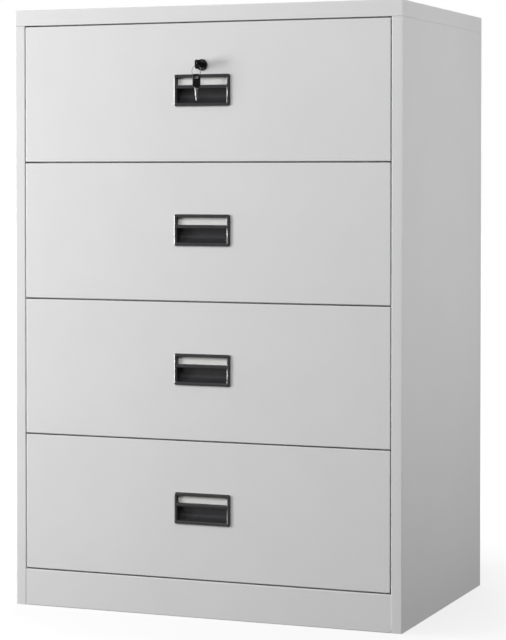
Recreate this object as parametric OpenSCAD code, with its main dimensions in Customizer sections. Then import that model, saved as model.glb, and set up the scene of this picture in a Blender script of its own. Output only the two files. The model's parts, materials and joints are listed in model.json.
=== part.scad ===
// Four-drawer steel filing cabinet.
// Frame: +X to the right, +Y to the back, +Z up. The origin is on the floor, at the middle of
// the whole object's length and width, the key in the lock included.

/* [Cabinet] */
// Width over the side panels
cab_w = 900; // [860:10:1000]
// Depth from the drawer fronts to the back
cab_d = 600; // [600:10:700]
// Height from the floor to the top
cab_h = 1320; // [1310:10:1400]
// Height of the plinth under the lowest drawer
plinth_h = 80.5; // [70:0.5:90]
// Height of the rim of the top panel
cap_h = 34.5; // [34:0.5:40]
// Width of each front stile
stile_w = 24; // [24:0.5:26]
// Depth of the return behind each front stile
stile_return = 42; // [40:1:43]
// Thickness of the folded steel sheet
sheet = 1; // [0.8:0.1:1.2]
// Outside radius of the cabinet's folds
fold_r = 2; // [1.5:0.1:2.5]

/* [Drawers] */
// Number of drawers
drawer_count = 4; // [4:1:4]
// Height of the gap above and below each drawer front
drawer_gap = 3; // [2.5:0.5:4]
// Gap at each side of a drawer front
side_gap = 2; // [2:0.5:3]
// Depth of the folded drawer front
front_depth = 20; // [20:0.5:20]
// Outside radius of the drawer front's folds
front_fold_r = 1.6; // [1.4:0.1:2]
// Height of the tray's walls
tray_h = 235; // [220:1:236]
// Length of the tray from the drawer front to its rear wall
tray_len = 545; // [530:1:560]
// Height of the tray's floor above the lower edge of the drawer front
tray_rise = 18.5; // [17:0.5:20]

/* [Slides] */
// Length of each slide, which is also the drawer's full travel
slide_len = 500; // [480:5:500]
// Height of the slide's centre above the tray's floor
slide_rise = 60; // [50:1:80]
// Radius of the bearing balls
ball_r = 2.2; // [2.1:0.05:2.2]
// Number of balls along each race
ball_count = 8; // [4:1:10]

/* [Handles] */
// Width of the handle's frame
handle_w = 130; // [120:1:140]
// Height of the handle's frame
handle_h = 68; // [68:1:72]
// Corner radius of the frame
handle_r = 4.5; // [3:0.5:6]
// Width of the frame's outer bars and of the bar between window and finger recess
handle_bar = 7; // [6:0.5:7]
// Height of the label window
window_h = 16; // [14:0.5:17]
// How far the frame stands out of the drawer front
handle_proud = 5; // [4:0.5:6]
// Depth of the finger recess behind the drawer front
recess_depth = 15; // [13:0.5:15]
// Height of the handle's centre above the middle of the drawer front
handle_up = 4.25; // [0:0.25:8]

/* [Lock] */
// Height of the lock's axis above the handle's centre
lock_up = 54.1; // [52:0.1:58]
// Diameter of the lock's rim
rim_d = 24.5; // [22:0.5:25]
// Distance from the drawer front to the outer end of the key
key_reach = 38.5; // [38.5:0.5:40]
// Length of a key's head
key_head_len = 30; // [29:0.5:30]
// Width of a key's head
key_head_w = 20; // [19:0.5:20]
// Length of a key's blade
key_blade_len = 25.5; // [25:0.5:25.5]
// Radius of the key ring, to the middle of its wire
ring_r = 12; // [12:0.5:12]
// Radius of the key ring's wire
ring_wire = 0.7; // [0.6:0.05:0.7]
// Turn of the key ring about the vertical, in degrees
ring_turn = -15; // [-15:1:-12]
// Turn of the spare key about the vertical, in degrees
spare_turn = 56.5; // [50:0.5:62]

/* [Hidden] */
DRAWER_PIECES = ["front", "liner", "tray", "file_rails", "handle", "label_card",
                 "slide_inners", "slide_middles", "outer_cages", "inner_cages"];

$fn = 48;
eps = 0.01;

// Colours
paint = "#dedede";
inner_paint = "#d2d2d0";
zinc = "#b9bdc2";
steel = "#c8ccd0";
black_plastic = "#1b1b1d";
card = "#d4d4d2";

// Carcass
y_front = key_reach / 2 - cab_d / 2;
y_back = y_front + cab_d;
half_w = cab_w / 2;
cap_seam = 0.5;
side_h = cab_h - cap_h - cap_seam;
tab_below = 20;
tab_above = 25;
tab_end = 6;
rear_flange = 20;
opening_half = half_w - stile_w;
plinth_flange = 25;
plinth_seam = 0.6;
base_top = plinth_h - sheet;
base_flange = 20;
rail_y = front_depth + 1;
rail_depth = 20;
rail_half = 15;
top_rail_low = 1255 - cab_h;
top_rail_flange = 40;
rail_sheet = 1.2;

// Slide posts: a front and a rear one on each side
post_web = 1.2;
post_y = [60, 480];
post_w = 40;
post_face = half_w - 23;

// Drawers
pitch = (cab_h - cap_h - plinth_h - drawer_gap) / drawer_count;
front_h = pitch - drawer_gap;
front_w = 2 * (opening_half - side_gap);
tray_half = 414;
weld_gap = 0.1;
hang_drop = 8;
hang_lip = 12;
hang_sheet = 1.2;
hang_width = 11;
leg_half = 15;
leg_y = 34;

// Slide members, as a distance from the middle plane (x) and from the slide's centre line (z)
slide_y = 44;
member = 1.2;
outer_x = post_face;
outer_z = 22.5;
outer_lip_x = 415.2;
outer_lip_z = 18.6;
middle_x = 424.1;
middle_z = 16.8;
middle_lip_x = 416.9;
middle_lip_z = 12.9;
inner_x = 421.6;
inner_z = 11.1;
cage_len = 240;
cage_start = 130;
cage_sheet = 0.8;
outer_ball = [420.5, (outer_z - member + middle_z) / 2];
inner_ball = [420.4, (middle_z - member + inner_z) / 2];
outer_cage_x = [417, 425.3];
inner_cage_x = [418.6, 422.6];
ball_seat = 0.05;
screw_r = 2;
screw_head_r = 3.6;
screw_len = 8;
screw_clear = 0.1;

// Handles
body_margin = 4;
body_wall = 2;
body_clear = 0.2;
card_depth = 3.5;
card_t = 0.4;
card_inset = 0.2;
partition = 1.5;
scoop_r = recess_depth + 4;
cavity_side = handle_w / 2 - handle_bar;

// Lock
barrel_r = 9.5;
barrel_clear = 0.1;
rim_proud = 4;
rim_bevel = 1;
barrel_end = 22.6;
nut_af = 24;
nut_t = 2.4;
plug_r = 6;
plug_clear = 0.05;
plug_head_r = 7.2;
plug_head_t = 1.7;
plug_recess = 0.8;
plug_seat_clear = 0.2;
plug_end = 23;
keyway = [2.2, 8.2];
keyway_end = 19;
cam_t = 2.5;
cam_boss_r = 9;
cam_w = 16;
cam_len = 75;
cam_screw_r = 2;
cam_screw_head = [4, 2.5];
cam_screw_end = 19;

// Keys
key_t = 2.5;
blade_t = 2;
blade_w = 7.8;
head_corner = 6;
blade_in_head = 2;
blade_tip = 5.4;
slot_w = 8.5;
slot_h = 4.8;
slot_in = 7.2;
slot_r = 1.2;
ring_drop = 14.8;
ring_out = 0.95;
spare_gap = 1.2;

function drawer_z(n) = plinth_h + drawer_gap + (drawer_count - n) * pitch;
function handle_z(n) = drawer_z(n) + front_h / 2 + handle_up;
function tray_z(n) = drawer_z(n) + tray_rise;
function slide_z(n) = tray_z(n) + slide_rise;
lock_z = handle_z(1) + lock_up;
ring_y = y_front - key_reach + slot_in - ring_out;
ring_z = lock_z - ring_drop;

// ---------------------------------------------------------------- helpers

// The children and their mirror image on the other side of the cabinet
module both_sides() {
    children();
    mirror([1, 0, 0]) children();
}

// Quarter of a bent sheet: outer radius r round the origin, in the +x +y quadrant
module quarter_fold(r, t) {
    intersection() {
        difference() {
            circle(r);
            circle(r - t);
        }
        square(r);
    }
}

// The edge of a folded pan, from the face at y = 0 down the wall to y = -depth
module pan_edge(depth, r, t) {
    translate([0, -r]) quarter_fold(r, t);
    translate([r - t, -depth]) square([t, depth - r]);
}

// A pan folded from sheet, face up at z = 0, open below, w by h over its walls
module pan(w, h, depth, r, t) {
    x = w / 2 - r;
    y = h / 2 - r;
    translate([-x, -y, -t]) cube([2 * x, 2 * y, t]);
    for (s = [0, 1]) {
        mirror([s, 0, 0]) translate([x, 0, 0]) rotate([90, 0, 0])
            linear_extrude(2 * y, center = true) pan_edge(depth, r, t);
        mirror([0, s, 0]) translate([0, y, 0]) rotate([90, 0, 90])
            linear_extrude(2 * x, center = true) pan_edge(depth, r, t);
    }
    for (sx = [0, 1], sy = [0, 1])
        mirror([sx, 0, 0]) mirror([0, sy, 0]) translate([x, y, 0])
            rotate_extrude(angle = 90) pan_edge(depth, r, t);
}

// A rectangle with rounded corners, centred
module rounded_rect(w, h, r) {
    square([w - 2 * r, h], center = true);
    square([w, h - 2 * r], center = true);
    for (sx = [-1, 1], sy = [-1, 1])
        translate([sx * (w / 2 - r), sy * (h / 2 - r)]) circle(r);
}

// Places children drawn with x to the right, y up and z outwards on the front plane at height z
module on_front(z = 0, x = 0) {
    translate([x, y_front, z]) rotate([90, 0, 0]) children();
}

// A box between two corners
module span(lo, hi) {
    translate(lo) cube(hi - lo);
}

// ---------------------------------------------------------------- carcass

// The side panel's section: stile with its return, wall and rear flange
module side_section() {
    x_fold = half_w - fold_r;
    x_inner = opening_half + fold_r;
    y0 = y_front + fold_r;
    y1 = y_back - fold_r;
    translate([half_w - sheet, y0]) square([sheet, y1 - y0]);
    translate([x_fold, y0]) mirror([0, 1]) quarter_fold(fold_r, sheet);
    translate([x_inner, y_front]) square([x_fold - x_inner, sheet]);
    translate([x_inner, y0]) rotate(180) quarter_fold(fold_r, sheet);
    translate([opening_half, y0]) square([sheet, stile_return - fold_r]);
    translate([x_fold, y1]) quarter_fold(fold_r, sheet);
    translate([half_w - rear_flange, y_back - sheet]) square([rear_flange - fold_r, sheet]);
}

module side_panel() {
    linear_extrude(side_h) side_section();
    // Flange on the floor
    span([half_w - rear_flange, y_front + fold_r, 0], [half_w - sheet, y_back - fold_r, sheet]);
    // Tab that the top panel's rim is fixed to
    span([half_w - 2 * sheet, y_front + tab_end, side_h - tab_below],
         [half_w - sheet, y_back - tab_end, side_h + tab_above]);
}

module left_side_panel() {
    color(paint) mirror([1, 0, 0]) side_panel();
}

module right_side_panel() {
    color(paint) side_panel();
}

module top_panel() {
    color(paint) translate([0, (y_front + y_back) / 2, cab_h])
        pan(cab_w, cab_d, cap_h, fold_r, sheet);
}

module back_panel() {
    color(inner_paint) span([-half_w + fold_r, y_back - 2 * sheet, sheet],
                            [half_w - fold_r, y_back - sheet, cab_h - fold_r]);
}

module base_panel() {
    color(inner_paint) {
        span([-opening_half, y_front + fold_r, base_top - sheet],
             [opening_half, y_front + stile_return + fold_r, base_top]);
        span([-half_w + sheet, y_front + stile_return + fold_r, base_top - sheet],
             [half_w - sheet, y_back - 2 * sheet, base_top]);
        both_sides()
            span([half_w - 2 * sheet, y_front + stile_return + fold_r, base_top - base_flange],
                 [half_w - sheet, y_back - 2 * sheet, base_top - sheet]);
    }
}

// The plinth's channel: front wall with a flange on top and one on the floor
module plinth_section() {
    translate([fold_r, plinth_h - fold_r]) rotate(90) quarter_fold(fold_r, sheet);
    translate([fold_r, fold_r]) rotate(180) quarter_fold(fold_r, sheet);
    translate([0, fold_r]) square([sheet, plinth_h - 2 * fold_r]);
    translate([fold_r, plinth_h - sheet]) square([plinth_flange - fold_r, sheet]);
    translate([fold_r, 0]) square([plinth_flange - fold_r, sheet]);
}

module plinth() {
    color(paint) translate([0, y_front, 0]) rotate([90, 0, 90])
        linear_extrude(2 * (opening_half - plinth_seam), center = true) plinth_section();
}

// The rail above the top drawer, which the lock's cam turns up behind
module top_rail() {
    y0 = y_front + rail_y;
    color(inner_paint) {
        span([-opening_half, y0, cab_h + top_rail_low],
             [opening_half, y0 + rail_sheet, cab_h - sheet]);
        span([-opening_half, y0 + rail_sheet, cab_h - sheet - rail_sheet],
             [opening_half, y0 + top_rail_flange, cab_h - sheet]);
    }
}

// A channel across the opening behind each gap between two drawer fronts
module cross_rails() {
    y0 = y_front + rail_y;
    color(inner_paint) for (n = [1 : drawer_count - 1]) {
        z = drawer_z(n) - drawer_gap / 2;
        span([-opening_half, y0, z - rail_half], [opening_half, y0 + sheet, z + rail_half]);
        for (s = [-1, 1])
            span([-opening_half, y0 + sheet, z + s * (rail_half - sheet / 2) - sheet / 2],
                 [opening_half, y0 + rail_depth, z + s * (rail_half - sheet / 2) + sheet / 2]);
    }
}

// Centre lines of the screws that fix the right-hand slides to their posts
module at_slide_screws() {
    for (n = [1 : drawer_count], y = post_y)
        translate([outer_x, y_front + y + post_w / 2, slide_z(n)]) rotate([0, 90, 0]) children();
}

module slide_posts() {
    color(zinc) both_sides() difference() {
        for (y = post_y) {
            y0 = y_front + y;
            span([post_face, y0, base_top], [post_face + post_web, y0 + post_w, side_h]);
            for (f = [0, post_w - post_web])
                span([post_face + post_web, y0 + f, base_top],
                     [half_w - 2 * sheet, y0 + f + post_web, side_h]);
        }
        at_slide_screws() cylinder(h = 3 * post_web, r = screw_r + screw_clear, center = true);
    }
}

// ---------------------------------------------------------------- slides

// A channel with lips: web at x1, flanges back to x0 at height z1, lips down to height z0
module lipped_channel(x0, x1, z0, z1) {
    translate([x1 - member, -z1]) square([member, 2 * z1]);
    for (s = [0, 1]) mirror([0, s]) {
        translate([x0, z1 - member]) square([x1 - member - x0, member]);
        translate([x0, z0]) square([member, z1 - member - z0]);
    }
}

// Runs a section along a slide of the right-hand side, from y0 over a length
module along_slide(n, y0, length) {
    translate([0, y_front + slide_y + y0 + length, slide_z(n)]) rotate([90, 0, 0])
        linear_extrude(length) children();
}

module slide_outers() {
    color(zinc) both_sides() difference() {
        for (n = [1 : drawer_count])
            along_slide(n, 0, slide_len)
                lipped_channel(outer_lip_x, outer_x, outer_lip_z, outer_z);
        at_slide_screws() mirror([0, 0, 1]) {
            cylinder(h = 2 * member, r = screw_r + screw_clear);
            cylinder(h = member + eps, r1 = screw_r + screw_clear, r2 = screw_head_r + screw_clear);
        }
    }
}

module slide_screws() {
    color(steel) both_sides() at_slide_screws() {
        translate([0, 0, -member]) cylinder(h = member, r1 = screw_head_r, r2 = screw_r);
        cylinder(h = screw_len, r = screw_r);
    }
}

module drawer_slide_middles(n) {
    color(zinc) both_sides() along_slide(n, 0, slide_len)
        lipped_channel(middle_lip_x, middle_x, middle_lip_z, middle_z);
}

module drawer_slide_inners(n) {
    color(zinc) both_sides() along_slide(n, 0, slide_len) {
        translate([tray_half, -inner_z]) square([member, 2 * inner_z]);
        for (s = [0, 1]) mirror([0, s])
            translate([tray_half + member, inner_z - member])
                square([inner_x - tray_half - member, member]);
    }
}

// The places of the balls of one cage
module at_balls(n, ball) {
    step = cage_len / ball_count;
    for (i = [0 : ball_count - 1], s = [-1, 1])
        translate([ball.x, y_front + slide_y + cage_start + (i + 0.5) * step,
                   slide_z(n) + s * ball.y]) children();
}

// A ball cage with its balls: a web beside the members and a tab above and below it
module ball_cages(n, ball, cage_x) {
    both_sides() {
        color(zinc) difference() {
            along_slide(n, cage_start, cage_len) {
                translate([cage_x[1] - cage_sheet, -ball.y - cage_sheet / 2])
                    square([cage_sheet, 2 * ball.y + cage_sheet]);
                for (s = [-1, 1])
                    translate([cage_x[0], s * ball.y - cage_sheet / 2])
                        square([cage_x[1] - cage_sheet - cage_x[0], cage_sheet]);
            }
            at_balls(n, ball) sphere(ball_r + ball_seat);
        }
        color(steel) at_balls(n, ball) sphere(ball_r);
    }
}

module drawer_outer_cages(n) {
    ball_cages(n, outer_ball, outer_cage_x);
}

module drawer_inner_cages(n) {
    ball_cages(n, inner_ball, inner_cage_x);
}

// ---------------------------------------------------------------- drawers

// The body of the lock's barrel, for the holes that it passes through
module lock_hole(n) {
    if (n == 1)
        on_front(lock_z) cylinder(h = 3 * front_depth, r = barrel_r + barrel_clear, center = true);
}

module drawer_front(n) {
    color(paint) difference() {
        on_front(drawer_z(n) + front_h / 2)
            pan(front_w, front_h, front_depth, front_fold_r, sheet);
        on_front(handle_z(n)) cube([handle_w - 2 * body_margin + 2 * body_clear,
                                    handle_h - 2 * body_margin + 2 * body_clear, 4 * sheet],
                                   center = true);
        lock_hole(n);
    }
}

module drawer_liner(n) {
    color(inner_paint) difference() {
        on_front(drawer_z(n) + front_h / 2) translate([0, 0, -front_depth])
            linear_extrude(sheet)
                rounded_rect(front_w - 2 * sheet, front_h - 2 * sheet, front_fold_r - sheet);
        lock_hole(n);
    }
}

// Floor, side walls and rear wall, spot-welded edge to edge
module drawer_tray(n) {
    y0 = y_front + front_depth;
    y1 = y0 + tray_len;
    z0 = tray_z(n);
    z1 = z0 + tray_h;
    inside = tray_half - sheet;
    color(inner_paint) {
        span([-inside + weld_gap, y0, z0], [inside - weld_gap, y1, z0 + sheet]);
        both_sides() span([inside, y0, z0], [tray_half, y1, z1]);
        span([-inside + weld_gap, y1 - sheet, z0 + sheet + weld_gap],
             [inside - weld_gap, y1, z1]);
    }
}

// Rails that hanging files ride on: one along each side wall and one down the middle
module drawer_file_rails(n) {
    y0 = y_front + leg_y;
    y1 = y_front + front_depth + tray_len - sheet;
    z_floor = tray_z(n) + sheet;
    z1 = tray_z(n) + tray_h - hang_drop;
    inside = tray_half - sheet;
    mid = hang_width - 2;
    color(zinc) {
        both_sides() {
            span([inside - hang_sheet, y0, z1 - hang_lip], [inside, y1, z1]);
            span([inside - hang_width, y0, z1], [inside, y1, z1 + hang_sheet]);
            span([inside - hang_width, y0, z1 + hang_sheet],
                 [inside - hang_width + hang_sheet, y1, z1 + hang_lip]);
        }
        span([-mid, y0, z1], [mid, y1, z1 + hang_sheet]);
        both_sides() span([mid - hang_sheet, y0, z1 + hang_sheet], [mid, y1, z1 + hang_lip]);
        span([-leg_half, y0, z_floor], [leg_half, y0 + hang_sheet, z1]);
    }
}

// The finger recess in section: a straight mouth, a pocket up behind the window and a round scoop
module recess_section() {
    low = -handle_h / 2 + handle_bar;
    mouth_top = handle_h / 2 - 2 * handle_bar - window_h;
    pocket_top = handle_h / 2 - handle_bar;
    scoop_y = low + scoop_r;
    scoop_z = -recess_depth + scoop_r;
    back = card_depth + partition;
    translate([scoop_y, -recess_depth]) square([pocket_top - scoop_y, recess_depth - back]);
    translate([scoop_y, -recess_depth])
        square([mouth_top - scoop_y, recess_depth + handle_proud + 1]);
    intersection() {
        translate([scoop_y, scoop_z]) circle(scoop_r, $fn = 96);
        translate([low, -recess_depth]) square([scoop_r, scoop_r]);
    }
    translate([low, scoop_z]) square([scoop_r, handle_proud + 1 - scoop_z]);
}

module drawer_handle(n) {
    color(black_plastic) on_front(handle_z(n)) difference() {
        union() {
            linear_extrude(handle_proud) rounded_rect(handle_w, handle_h, handle_r);
            translate([0, 0, -(recess_depth + body_wall) / 2])
                cube([handle_w - 2 * body_margin, handle_h - 2 * body_margin,
                      recess_depth + body_wall], center = true);
        }
        translate([-cavity_side, handle_h / 2 - handle_bar - window_h, -card_depth])
            cube([2 * cavity_side, window_h, card_depth + handle_proud + 1]);
        rotate([90, 0, 90]) linear_extrude(2 * cavity_side, center = true) recess_section();
    }
}

module drawer_label_card(n) {
    color(card) on_front(handle_z(n))
        translate([-cavity_side + card_inset,
                   handle_h / 2 - handle_bar - window_h + card_inset, -card_depth])
            cube([2 * (cavity_side - card_inset), window_h - 2 * card_inset, card_t]);
}

// ---------------------------------------------------------------- lock and keys

module lock_housing() {
    seat = rim_proud - plug_recess - plug_head_t - plug_seat_clear;
    color(black_plastic) on_front(lock_z) difference() {
        union() {
            cylinder(h = rim_proud - rim_bevel, r = rim_d / 2);
            translate([0, 0, rim_proud - rim_bevel])
                cylinder(h = rim_bevel, r1 = rim_d / 2, r2 = rim_d / 2 - rim_bevel);
            translate([0, 0, -barrel_end]) cylinder(h = barrel_end, r = barrel_r);
        }
        translate([0, 0, -barrel_end - 1])
            cylinder(h = barrel_end + rim_proud + 2, r = plug_r + plug_clear);
        translate([0, 0, seat]) cylinder(h = rim_proud, r = plug_head_r + barrel_clear);
    }
}

module lock_nut() {
    color(steel) on_front(lock_z) translate([0, 0, -front_depth - nut_t]) difference() {
        cylinder(h = nut_t, r = nut_af / 2 / cos(30), $fn = 6);
        translate([0, 0, -1]) cylinder(h = nut_t + 2, r = barrel_r + plug_clear);
    }
}

module lock_plug() {
    head_back = rim_proud - plug_recess - plug_head_t;
    color(steel) on_front(lock_z) difference() {
        union() {
            translate([0, 0, -plug_end]) cylinder(h = plug_end + head_back, r = plug_r);
            translate([0, 0, head_back]) cylinder(h = plug_head_t, r = plug_head_r);
        }
        translate([-keyway.x / 2, -keyway.y / 2, -keyway_end])
            cube([keyway.x, keyway.y, keyway_end + 2 * rim_proud]);
        translate([0, 0, -plug_end - 1])
            cylinder(h = plug_end - cam_screw_end + 1, r = cam_screw_r + plug_clear);
    }
}

// Points along +x with the drawer unlocked, and turns up behind the top rail
module lock_cam() {
    color(zinc) on_front(lock_z) translate([0, 0, -plug_end - cam_t]) difference() {
        linear_extrude(cam_t) {
            circle(cam_boss_r);
            translate([0, -cam_w / 2]) square([cam_len - cam_w / 2, cam_w]);
            translate([cam_len - cam_w / 2, 0]) circle(cam_w / 2);
        }
        translate([0, 0, -1]) cylinder(h = cam_t + 2, r = cam_screw_r + plug_clear);
    }
}

module cam_screw() {
    color(steel) on_front(lock_z) {
        translate([0, 0, -plug_end - cam_t]) cylinder(h = plug_end + cam_t - cam_screw_end,
                                                      r = cam_screw_r);
        translate([0, 0, -plug_end - cam_t - cam_screw_head[1]])
            cylinder(h = cam_screw_head[1], r = cam_screw_head[0]);
    }
}

// A flat key with a slotted head, pointing down along -y, its head's end at the origin
module key() {
    difference() {
        union() {
            translate([0, -key_head_len / 2, -key_t / 2])
                linear_extrude(key_t) rounded_rect(key_head_w, key_head_len, head_corner);
            translate([-blade_w / 2, -key_head_len - key_blade_len + blade_in_head, -blade_t / 2])
                cube([blade_w, key_blade_len, blade_t]);
            translate([0, -key_head_len - key_blade_len + blade_in_head, 0])
                rotate(45) cube([blade_tip, blade_tip, blade_t], center = true);
        }
        translate([0, -slot_in, -key_t])
            linear_extrude(2 * key_t) rounded_rect(slot_w, slot_h, slot_r);
    }
}

module lock_key() {
    color(black_plastic) translate([0, y_front - key_reach, lock_z])
        rotate([0, 90, 0]) rotate([0, 0, 180]) key();
}

module key_ring() {
    color(steel) translate([0, ring_y, ring_z]) rotate([90, 0, ring_turn])
        rotate_extrude($fn = 96) translate([ring_r, 0]) circle(ring_wire, $fn = 24);
}

module spare_key() {
    slot_z = ring_z - ring_r + spare_gap - slot_h / 2;
    color(black_plastic) translate([0, ring_y, slot_z + slot_in])
        rotate([90, 0, spare_turn]) key();
}

// ---------------------------------------------------------------- nodes

left_side_panel();
right_side_panel();
top_panel();
back_panel();
base_panel();
plinth();
top_rail();
cross_rails();
slide_posts();
slide_outers();
slide_screws();
lock_housing();
lock_nut();
lock_plug();
lock_cam();
cam_screw();
lock_key();
key_ring();
spare_key();
for (n = [1 : drawer_count]) {
    drawer_front(n);
    drawer_liner(n);
    drawer_tray(n);
    drawer_file_rails(n);
    drawer_handle(n);
    drawer_label_card(n);
    drawer_slide_inners(n);
    drawer_slide_middles(n);
    drawer_outer_cages(n);
    drawer_inner_cages(n);
}
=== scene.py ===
"""A wide steel filing cabinet, with recessed plastic handles and a cam lock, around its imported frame."""

import json
import math

import bpy
from bpy.props import FloatProperty, IntProperty, PointerProperty, StringProperty
from mathutils import Matrix, Vector


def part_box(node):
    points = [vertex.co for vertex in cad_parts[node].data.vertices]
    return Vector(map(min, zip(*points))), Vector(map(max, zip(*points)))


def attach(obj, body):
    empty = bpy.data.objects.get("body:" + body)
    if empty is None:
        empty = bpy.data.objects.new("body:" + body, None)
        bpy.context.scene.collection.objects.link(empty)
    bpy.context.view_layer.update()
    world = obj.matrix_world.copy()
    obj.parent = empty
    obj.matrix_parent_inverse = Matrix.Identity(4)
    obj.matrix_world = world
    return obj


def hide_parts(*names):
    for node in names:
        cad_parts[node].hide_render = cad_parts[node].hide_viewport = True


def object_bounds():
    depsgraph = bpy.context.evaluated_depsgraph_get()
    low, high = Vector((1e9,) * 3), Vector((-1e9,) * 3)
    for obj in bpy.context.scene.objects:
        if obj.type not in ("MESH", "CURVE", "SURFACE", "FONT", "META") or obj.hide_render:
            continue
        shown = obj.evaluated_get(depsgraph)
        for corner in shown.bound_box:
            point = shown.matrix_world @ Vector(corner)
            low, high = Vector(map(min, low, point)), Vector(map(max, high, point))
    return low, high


bl_info = {
    "name": "Steel filing cabinet",
    "version": (1, 0, 0),
    "blender": (4, 5, 0),
    "location": "3D View > Sidebar > Cabinet",
    "description": "A folded steel cabinet with drawers, plastic handles, a cam lock and its keys",
    "category": "Object",
}

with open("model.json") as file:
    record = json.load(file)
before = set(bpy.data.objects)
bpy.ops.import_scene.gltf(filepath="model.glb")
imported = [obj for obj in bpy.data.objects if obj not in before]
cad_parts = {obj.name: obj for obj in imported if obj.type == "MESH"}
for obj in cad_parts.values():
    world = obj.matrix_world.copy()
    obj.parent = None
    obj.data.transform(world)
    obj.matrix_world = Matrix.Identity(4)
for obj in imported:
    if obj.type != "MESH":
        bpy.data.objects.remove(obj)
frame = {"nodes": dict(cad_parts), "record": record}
cad_low, cad_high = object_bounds()

MM = 0.001
TINY = 1e-5
DRAWERS = [n for n in range(1, 10) if f"drawer_{n}_front" in frame["nodes"]]
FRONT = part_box("drawer_1_front")[0].y


# ---------------------------------------------------------------- settings

class SheetSettings(bpy.types.PropertyGroup):
    """The folded sheets of the carcass and the drawers."""

    thickness: FloatProperty(
        name="Sheet", description="Thickness of the steel sheet",
        default=1.0 * MM, min=0.5 * MM, subtype="DISTANCE", unit="LENGTH")
    cabinet_fold: FloatProperty(
        name="Cabinet folds", description="Outside radius of the carcass's folds",
        default=2.0 * MM, min=1.2 * MM, subtype="DISTANCE", unit="LENGTH")
    front_fold: FloatProperty(
        name="Front folds", description="Outside radius of the drawer fronts' folds",
        default=1.6 * MM, min=1.2 * MM, subtype="DISTANCE", unit="LENGTH")
    tray_fold: FloatProperty(
        name="Tray folds", description="Outside radius of the trays' folds",
        default=3.0 * MM, min=1.5 * MM, subtype="DISTANCE", unit="LENGTH")
    fold_steps: IntProperty(
        name="Fold steps", description="Faces round each fold", default=5, min=2, max=12)


class HandleSettings(bpy.types.PropertyGroup):
    """The moulded pulls on the drawer fronts."""

    bar: FloatProperty(
        name="Bars", description="Width of the frame's bars",
        default=7.0 * MM, min=4 * MM, subtype="DISTANCE", unit="LENGTH")
    window: FloatProperty(
        name="Window", description="Height of the label window",
        default=16.0 * MM, min=8 * MM, subtype="DISTANCE", unit="LENGTH")
    corner: FloatProperty(
        name="Corners", description="Radius of the frame's corners",
        default=4.5 * MM, min=1 * MM, subtype="DISTANCE", unit="LENGTH")
    slope_width: FloatProperty(
        name="Slope width", description="Width of the slope along the frame's edges",
        default=2.4 * MM, min=0.5 * MM, max=3 * MM, subtype="DISTANCE", unit="LENGTH")
    slope_height: FloatProperty(
        name="Slope height", description="Height of the slope along the frame's edges",
        default=1.45 * MM, min=0.3 * MM, max=2 * MM, subtype="DISTANCE", unit="LENGTH")


class FinishSettings(bpy.types.PropertyGroup):
    """Colours, as sRGB hex values."""

    paint: StringProperty(name="Paint", description="Powder coat outside", default="#d9d9d9")
    inside: StringProperty(name="Inside", description="Powder coat inside", default="#d3d3d1")
    pull: StringProperty(name="Handles", description="Moulded handles", default="#323234")
    card: StringProperty(name="Labels", description="Card in the label windows", default="#dededc")
    lock: StringProperty(name="Lock", description="Black chrome of the lock", default="#3a3a3d")
    key_head: StringProperty(name="Key heads", description="Moulded heads of the keys",
                             default="#070707")
    nickel: StringProperty(name="Nickel", description="Key blades and ring", default="#5c5c5b")
    zinc: StringProperty(name="Zinc", description="Plated slides and rails", default="#b9bdc2")


class StageSettings(bpy.types.PropertyGroup):
    """The camera and the lights."""

    camera_turn: FloatProperty(
        name="Camera turn", description="How far the camera stands round to the right",
        default=math.radians(21.55), subtype="ANGLE", unit="ROTATION")
    camera_tilt: FloatProperty(
        name="Camera tilt", description="How far the camera looks down",
        default=math.radians(1.432), subtype="ANGLE", unit="ROTATION")
    camera_right: FloatProperty(
        name="Camera right", description="Distance of the camera to the right of the middle",
        default=1.8615, subtype="DISTANCE", unit="LENGTH")
    camera_away: FloatProperty(
        name="Camera away", description="Distance of the camera in front of the drawer fronts",
        default=4.4174, subtype="DISTANCE", unit="LENGTH")
    camera_up: FloatProperty(
        name="Camera height", description="Height of the camera above the floor",
        default=0.9568, subtype="DISTANCE", unit="LENGTH")
    lens: FloatProperty(
        name="Lens", description="Focal length of the camera in millimetres",
        default=125.58, min=20, subtype="DISTANCE_CAMERA")
    rise: FloatProperty(
        name="Shift", description="Vertical shift of the camera, so that it tilts less",
        default=-0.1399, min=-1, max=1)
    key_power: FloatProperty(
        name="Key light", description="Power of the softbox low on the left", default=85,
        min=0, unit="POWER")
    high_power: FloatProperty(
        name="High light", description="Power of the softbox high on the left", default=26,
        min=0, unit="POWER")
    front_power: FloatProperty(
        name="Front light", description="Power of the softbox above the camera", default=54,
        min=0, unit="POWER")
    edge_power: FloatProperty(
        name="Edge light", description="Power of the strip that grazes the fronts from the left",
        default=260, min=0, unit="POWER")
    side_power: FloatProperty(
        name="Side light", description="Power of the narrow softbox on the right", default=6.0,
        min=0, unit="POWER")
    back_power: FloatProperty(
        name="Back light", description="Power of the softbox behind the cabinet", default=30,
        min=0, unit="POWER")
    side_spread: FloatProperty(
        name="Side spread", description="Angle that the light on the right spreads over",
        default=math.radians(60), subtype="ANGLE", unit="ROTATION")
    ambient: FloatProperty(
        name="Ambient", description="Strength of the light from above the horizon", default=0.385,
        min=0)


# ---------------------------------------------------------------- modelling

def deselect_all():
    bpy.ops.object.select_all(action="DESELECT")


def make_active(piece):
    deselect_all()
    piece.select_set(True)
    bpy.context.view_layer.objects.active = piece


def bake_place(piece):
    """Moves the piece's place into its mesh, so that its object sits at the origin."""
    make_active(piece)
    bpy.ops.object.transform_apply(location=True, rotation=True, scale=True)


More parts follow.
